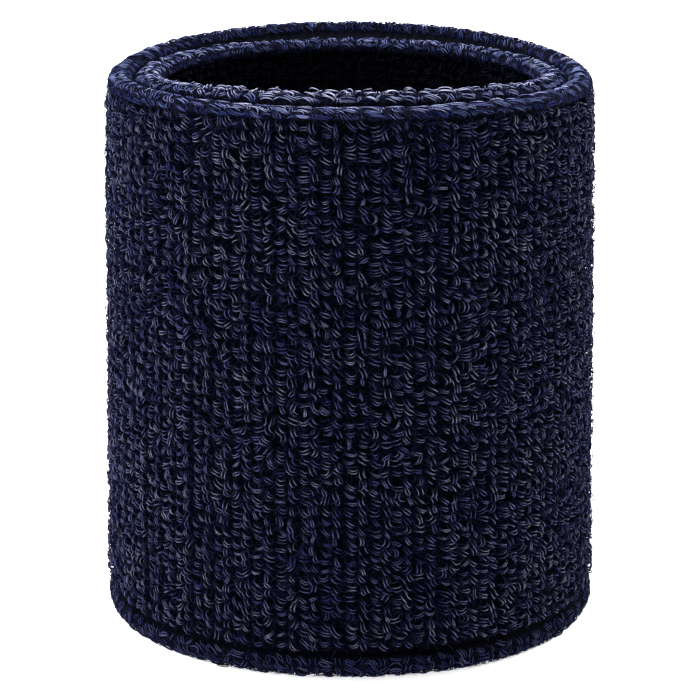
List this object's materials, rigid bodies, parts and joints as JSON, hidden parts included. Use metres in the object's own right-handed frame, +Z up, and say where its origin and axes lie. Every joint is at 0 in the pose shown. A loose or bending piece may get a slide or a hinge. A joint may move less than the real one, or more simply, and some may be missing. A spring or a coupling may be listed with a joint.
{
  "type": "sweat wristband",
  "caption": "Tubular terry sweat wristband: a double-layer band of looped pile on elastic knit, with rolled turned edges and an open bore for the wrist.",
  "frame": {"origin": "on the band's axis, at the middle of the bottom end, in the plane that the band stands on", "axes": "+Z up along the band's axis, towards the tighter top edge; +X and +Y are equivalent, because the band is round"},
  "size_m": [0.066, 0.066, 0.077],
  "materials": {
    "terry_pile": "uncut terry loops of soft textured yarn, deep navy with lilac-blue highlights",
    "ground_knit": "plain jersey knit, near-black navy",
    "elastic_yarn": "rubber core wound with matte navy filament",
    "seam_thread": "plied polyester thread, slight sheen"
  },
  "bodies": {
    "root": {"outer_ground_knit": "ground_knit", "lining_ground_knit": "ground_knit", "hem_ground_knit": "ground_knit", "bottom_fold_knit": "ground_knit", "top_fold_knit": "ground_knit", "outer_terry_pile": "terry_pile", "lining_terry_pile": "terry_pile", "hem_terry_pile": "terry_pile", "bottom_outer_edge_pile": "terry_pile", "top_outer_edge_pile": "terry_pile", "bottom_inner_edge_pile": "terry_pile", "top_inner_edge_pile": "terry_pile", "outer_elastic_yarn": "elastic_yarn", "lining_elastic_yarn": "elastic_yarn", "hem_elastic_yarn": "elastic_yarn", "bottom_edge_elastic": "elastic_yarn", "top_edge_elastic": "elastic_yarn", "closing_seam_stitches": "seam_thread"}
  },
  "joints": []
}
